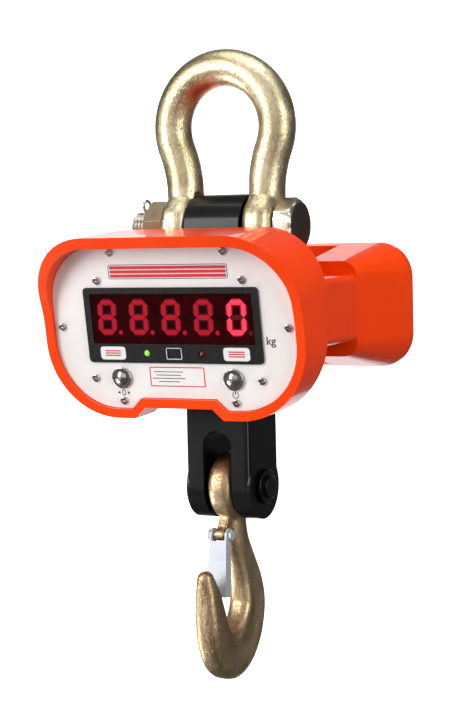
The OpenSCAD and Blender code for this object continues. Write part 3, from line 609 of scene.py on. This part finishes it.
def hook():
    """A squarish forged bar, waisted down its sides, with an eye, a latch lug and a bead at its tip."""
    rows = catmull(HOOK, 6)
    last = len(rows) - 1
    rings = []
    for k, (y, z, deep, across) in enumerate(rows):
        y0, z0 = rows[max(k - 1, 0)][:2]
        y1, z1 = rows[min(k + 1, last)][:2]
        ahead = Vector((0, y1 - y0, z1 - z0)).normalized()
        outer = Vector((0, ahead.z, -ahead.y))
        share = k / last
        square = clamped((share - 0.15) / 0.2) * clamped((1.05 - share) / 0.12)
        groove = 0.26 * max(0.0, math.sin(math.pi * clamped((share - 0.12) / 0.62)))
        ring = []
        for s in range(44):
            a = math.tau * s / 44
            p, q = math.cos(a), math.sin(a)
            flat = math.copysign(abs(q) ** (1 - 0.35 * square), q)
            face = math.copysign(abs(p) ** (1 - 0.3 * square), p)
            waist = 1 - groove * math.exp(-((p - 0.12) / 0.36) ** 2) - 0.12 * groove * p
            ring.append(BOLT + Vector((flat * across * waist, y, z)) + outer * deep * face)
        rings.append(ring)
    tip = BOLT + Vector((0, y, z))
    for turn in (30, 58, 80):
        a = math.radians(turn)
        crown = tip + ahead * deep * math.sin(a)
        wide, tall = Vector((across * math.cos(a), 0, 0)), outer * deep * math.cos(a)
        rings.append([crown + wide * math.sin(b) + tall * math.cos(b)
                      for b in (math.tau * s / 44 for s in range(44))])
    bar = skin("bar", rings)
    thick, edge = 21, 8
    profile = [(9.6, 0.8), (12, 0)]
    profile += [(18 + edge * math.sin(a), edge - edge * math.cos(a))
                for a in (math.pi / 2 * k / 7 for k in range(8))]
    profile += [(r, thick - h) for r, h in reversed(profile)]
    eye = lathe("eye", profile, PIN - Vector((thick / 2, 0, 0)), (1, 0, 0), 72)
    ball = 6.4
    profile = [(ball * math.cos(a), ball * math.sin(a))
               for a in (math.pi * k / 12 - math.pi / 2 for k in range(1, 12))]
    profile = [(0.01, -ball), *profile, (0.01, ball)]
    bead = lathe("bead", profile, BOLT + Vector((0, -46.7, -258.6)), (1, 0, 0), 32)
    half = 3.9
    lug = rod("lug", 4.5, LATCH_PIVOT, half)
    sections = ((-20.5, -233.8, -225.2), (-14, -234.5, -214), (-5, -236, -208), (2, -238, -206))
    arm = skin("arm", [[BOLT + Vector((x, y, z))
                        for x, z in ((-half, low), (half, low), (half, high), (-half, high))]
                       for y, low, high in sections])
    forged = fused("hook_forged", [bar, eye, bead, lug, arm], 0.95, 6)
    cut(forged, rod("tool", 10.05, PIN, 20))
    return stand_for(forged, "hook")


hook()


# ---- printed panel ----

def on_panel(u, v, w):
    """A place u to the right and v up from the panel's middle, and w out of its face."""
    return PANEL + Vector((u, 0, 0)) + UP_PANEL * v + OUT_PANEL * w


def inlay(name, outlines, finish, height=0.12, base=0.0):
    """Print on the panel, and painted glow and highlight: each outline is a loop of (u, v), or an outer
    and an inner loop.
    """
    points, faces = [], []
    sunk = base - 0.05
    for loop in outlines:
        rims = loop if isinstance(loop[0][0], (tuple, list)) else [loop]
        start = len(points)
        size = len(rims[0])
        if len(rims) == 1:
            for w in (sunk, base + height):
                points += [on_panel(u, v, w) for u, v in rims[0]]
            faces.append(tuple(start + size + s for s in range(size)))
            faces.append(tuple(start + s for s in range(size - 1, -1, -1)))
            for s in range(size):
                t = (s + 1) % size
                faces.append((start + s, start + t, start + size + t, start + size + s))
        else:
            for w in (sunk, base + height):
                for rim in rims:
                    points += [on_panel(u, v, w) for u, v in rim]
            low_out, low_in, top_out, top_in = (start + size * k for k in range(4))
            for s in range(size):
                t = (s + 1) % size
                faces.append((top_out + s, top_out + t, top_in + t, top_in + s))
                faces.append((low_out + t, low_out + s, low_in + s, low_in + t))
                faces.append((low_out + s, low_out + t, top_out + t, top_out + s))
                faces.append((low_in + t, low_in + s, top_in + s, top_in + t))
    thing = settle(piece(name, points, faces), 30)
    print_on(thing, finish)


def print_on(thing, finish):
    """Finishes a printed mark, or a painted glow or highlight, which rides with the housing."""
    dress(thing, finish)
    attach(thing, "housing")


def rounded(u, v, width, height, r, steps=5):
    loop = []
    for quarter, (sx, sy) in enumerate(((1, 1), (-1, 1), (-1, -1), (1, -1))):
        x = u + sx * (width / 2 - r)
        y = v + sy * (height / 2 - r)
        for k in range(steps + 1):
            a = math.pi / 2 * (quarter + k / steps)
            loop.append((x + r * math.cos(a), y + r * math.sin(a)))
    return loop


def frame_of(u, v, width, height, r, line):
    return [rounded(u, v, width, height, r),
            rounded(u, v, width - 2 * line, height - 2 * line, max(r - line, 0.1))]


def arc(u, v, r, start, sweep, steps):
    turns = [start + sweep * k / steps for k in range(steps + 1)]
    return [(u + r * math.cos(a), v + r * math.sin(a)) for a in turns]


def arc_band(u, v, r, line, start, sweep):
    return arc(u, v, r, start, sweep, 28) + arc(u, v, r - line, start, sweep, 28)[::-1]


def digit(u, v, bar=3.5, gap=0.3):
    """A digit's seven pointed bars: top, upper left and right, middle, lower left and right, foot."""
    x, y, b, slant = 5.65, 10.95, bar / 2, 0.05

    def across(cy):
        end = x - gap
        return [(-end, cy), (-end + b, cy + b), (end - b, cy + b), (end, cy),
                (end - b, cy - b), (-end + b, cy - b)]

    def upright(cx, low, high):
        low, high = low + gap, high - gap
        return [(cx, low), (cx + b, low + b), (cx + b, high - b), (cx, high),
                (cx - b, high - b), (cx - b, low + b)]

    bars = [across(y), upright(-x, 0, y), upright(x, 0, y), across(0),
            upright(-x, -y, 0), upright(x, -y, 0), across(-y)]
    return [[(u + px + slant * py, v + py) for px, py in outline] for outline in bars]


def window_print():
    """Four unlit digits with their points, given a painted faint glow and halo, a bright nought, and a
    painted highlight along the lens's lower edge.
    """
    lens, height, pitch, count = 0.8, 7.5, 26.4, 5
    for k in range(count):
        name, u = f"digit_{k + 1}", (k - 2) * pitch
        bars, glow = digit(u, height), digit(u, height, 5.6, -0.2)
        dot = arc(u + 10.2, height - 11.2, 1.7, 0, math.tau, 20)[:-1]
        if k < count - 1:
            # the unlit digits and their halos get a painted faint glow
            inlay(name + "_halo", glow, UNLIT_HALO_PAINTED_GLOW, 0.04, lens)
            inlay(name, bars + [dot], UNLIT_PAINTED_GLOW, 0.1, lens)
        else:
            middle = bars.pop(3)
            inlay(name + "_halo", glow[:3] + glow[4:], BRIGHT_HALO, 0.04, lens)
            inlay(name, bars, LIT, 0.1, lens)
            # the nought's unlit middle bar and point get a fainter painted glow
            inlay(name + "_rest", [middle, dot], OFF_PAINTED_GLOW, 0.1, lens)
    # a painted highlight along the lens's lower edge, in the white print finish
    inlay("lens_edge_painted_highlight", [rounded(0.4, -12.6, 131, 0.55, 0.2)], PRINT["white"], 0.25, lens)


def panel_print():
    """A striped title, a plate with plain rules, tabs beside the lamps, and the buttons' symbols."""
    red, dark, white = PRINT["red"], PRINT["dark"], PRINT["white"]
    title = 40.5
    inlay("title_edge", [frame_of(0, title, 97, 10.6, 1.6, 0.5)], dark)
    inlay("title_bars", [rounded(0, title + v, 94.6, 2.3, 0.6) for v in (-3, 0, 3)], red)
    inlay("plate_edge", [frame_of(0, -36.2, 45, 14.5, 1.2, 0.7)], red)
    rules = [rounded(-7, -32.6 - 2.4 * k, width, 0.55, 0.2) for k, width in enumerate((24, 20, 27, 17))]
    inlay("plate_rules", rules, dark)
    bezel, row = 1.4, -18.9
    for side, u in (("left", -50.5), ("right", 50.5)):
        marks = [rounded(u, row + v, 13, 0.9, 0.3) for v in (-1.7, 0, 1.7)]
        inlay("tab_" + side, [rounded(u, row, 21, 9.6, 2.4)], white, 0.1, bezel)
        inlay("tab_mark_" + side, marks, red, 0.18, bezel)
    receiver = [frame_of(0, row, 12.6, 8.4, 1.0, 0.45)]
    inlay("receiver_edge", receiver, white, 0.1, bezel)
    u, v = 45.8, -48.6
    ring = arc_band(u, v, 2.6, 0.6, math.radians(125), math.radians(290))
    inlay("power_mark", [ring, rounded(u, v + 1.5, 0.65, 3.2, 0.2)], dark)
    nought = [rounded(-u, v, 3.0, 4.4, 1.3), rounded(-u, v, 1.8, 3.2, 0.7)]
    arrows = [[(-u + side * 5.4, v), (-u + side * 3.2, v - side * 1.3), (-u + side * 3.2, v + side * 1.3)]
              for side in (-1, 1)]
    inlay("tare_mark", [nought, *arrows], dark)


def unit_mark():
    """The unit of weight beside the window."""
    text = bpy.data.curves.new("unit", "FONT")
    text.body = "kg"
    text.size = 8.2 * MM
    text.offset = 0.12 * MM
    text.extrude = 0.06 * MM
    text.align_x = "CENTER"
    holder = bpy.data.objects.new("unit", text)
    bpy.context.scene.collection.objects.link(holder)
    bpy.context.view_layer.update()
    mesh = bpy.data.meshes.new_from_object(holder)
    bpy.data.objects.remove(holder)
    turn = Matrix((Vector((1, 0, 0)), UP_PANEL, OUT_PANEL)).transposed().to_4x4()
    mesh.transform(Matrix.Translation(on_panel(77.6, -12, 0.04) * MM) @ turn)
    thing = bpy.data.objects.new("unit_mark", mesh)
    bpy.context.scene.collection.objects.link(thing)
    print_on(thing, PRINT["dark"])


window_print()
panel_print()
unit_mark()


# ---- studio ----

def backdrop():
    """A bright paper just large enough to stand behind the scale."""
    half, low, high, away = 0.9, -1.65, 0.85, 2.2
    across = Vector((math.cos(AROUND), math.sin(AROUND), 0)) * half
    behind = Vector((-math.sin(AROUND), math.cos(AROUND), 0)) * away
    points = [behind + across * side + Vector((0, 0, z))
              for side, z in ((-1, low), (1, low), (1, high), (-1, high))]
    sweep = piece("backdrop", points, [(0, 1, 2, 3)], 1)
    f = Finish("backdrop_paper", roughness=0.9, emission_color=(1, 1, 1), emission_strength=1.02)
    f.set(base_color=f.mixed(f.noise(3, 2), (0.93, 0.93, 0.93), (0.96, 0.96, 0.96)))
    dress(sweep, f)


def lamp(name, place, size, power, aim=(0, 0, -0.2)):
    data = bpy.data.lights.new(name, "AREA")
    data.shape = "RECTANGLE"
    data.size, data.size_y = size
    data.energy = power
    light = bpy.data.objects.new(name, data)
    bpy.context.scene.collection.objects.link(light)
    light.location = place
    light.rotation_euler = (Vector(aim) - Vector(place)).to_track_quat("-Z", "Y").to_euler()


def studio():
    bpy.context.scene.view_settings.view_transform = "Standard"
    world = bpy.context.scene.world or bpy.data.worlds.new("studio")
    bpy.context.scene.world = world
    world.use_nodes = True
    sky = world.node_tree.nodes["Background"]
    sky.inputs["Color"].default_value = (1, 0.985, 0.985, 1)
    sky.inputs["Strength"].default_value = 0.12
    lamp("overhead", place=(0.1, -0.2, 1.6), size=(1.8, 1.6), power=26)
    lamp("key", place=(-1.5, -1.9, 0.5), size=(1.0, 1.8), power=57)
    lamp("card", place=(0.5, -2.8, 0.5), size=(2.6, 2.4), power=16)
    lamp("low", place=(-1.7, -0.5, -1.3), size=(0.9, 0.8), power=22, aim=(0, 0, -0.4))
    lamp("side", place=(1.9, -0.7, 0.2), size=(0.9, 1.7), power=27)


backdrop()
studio()
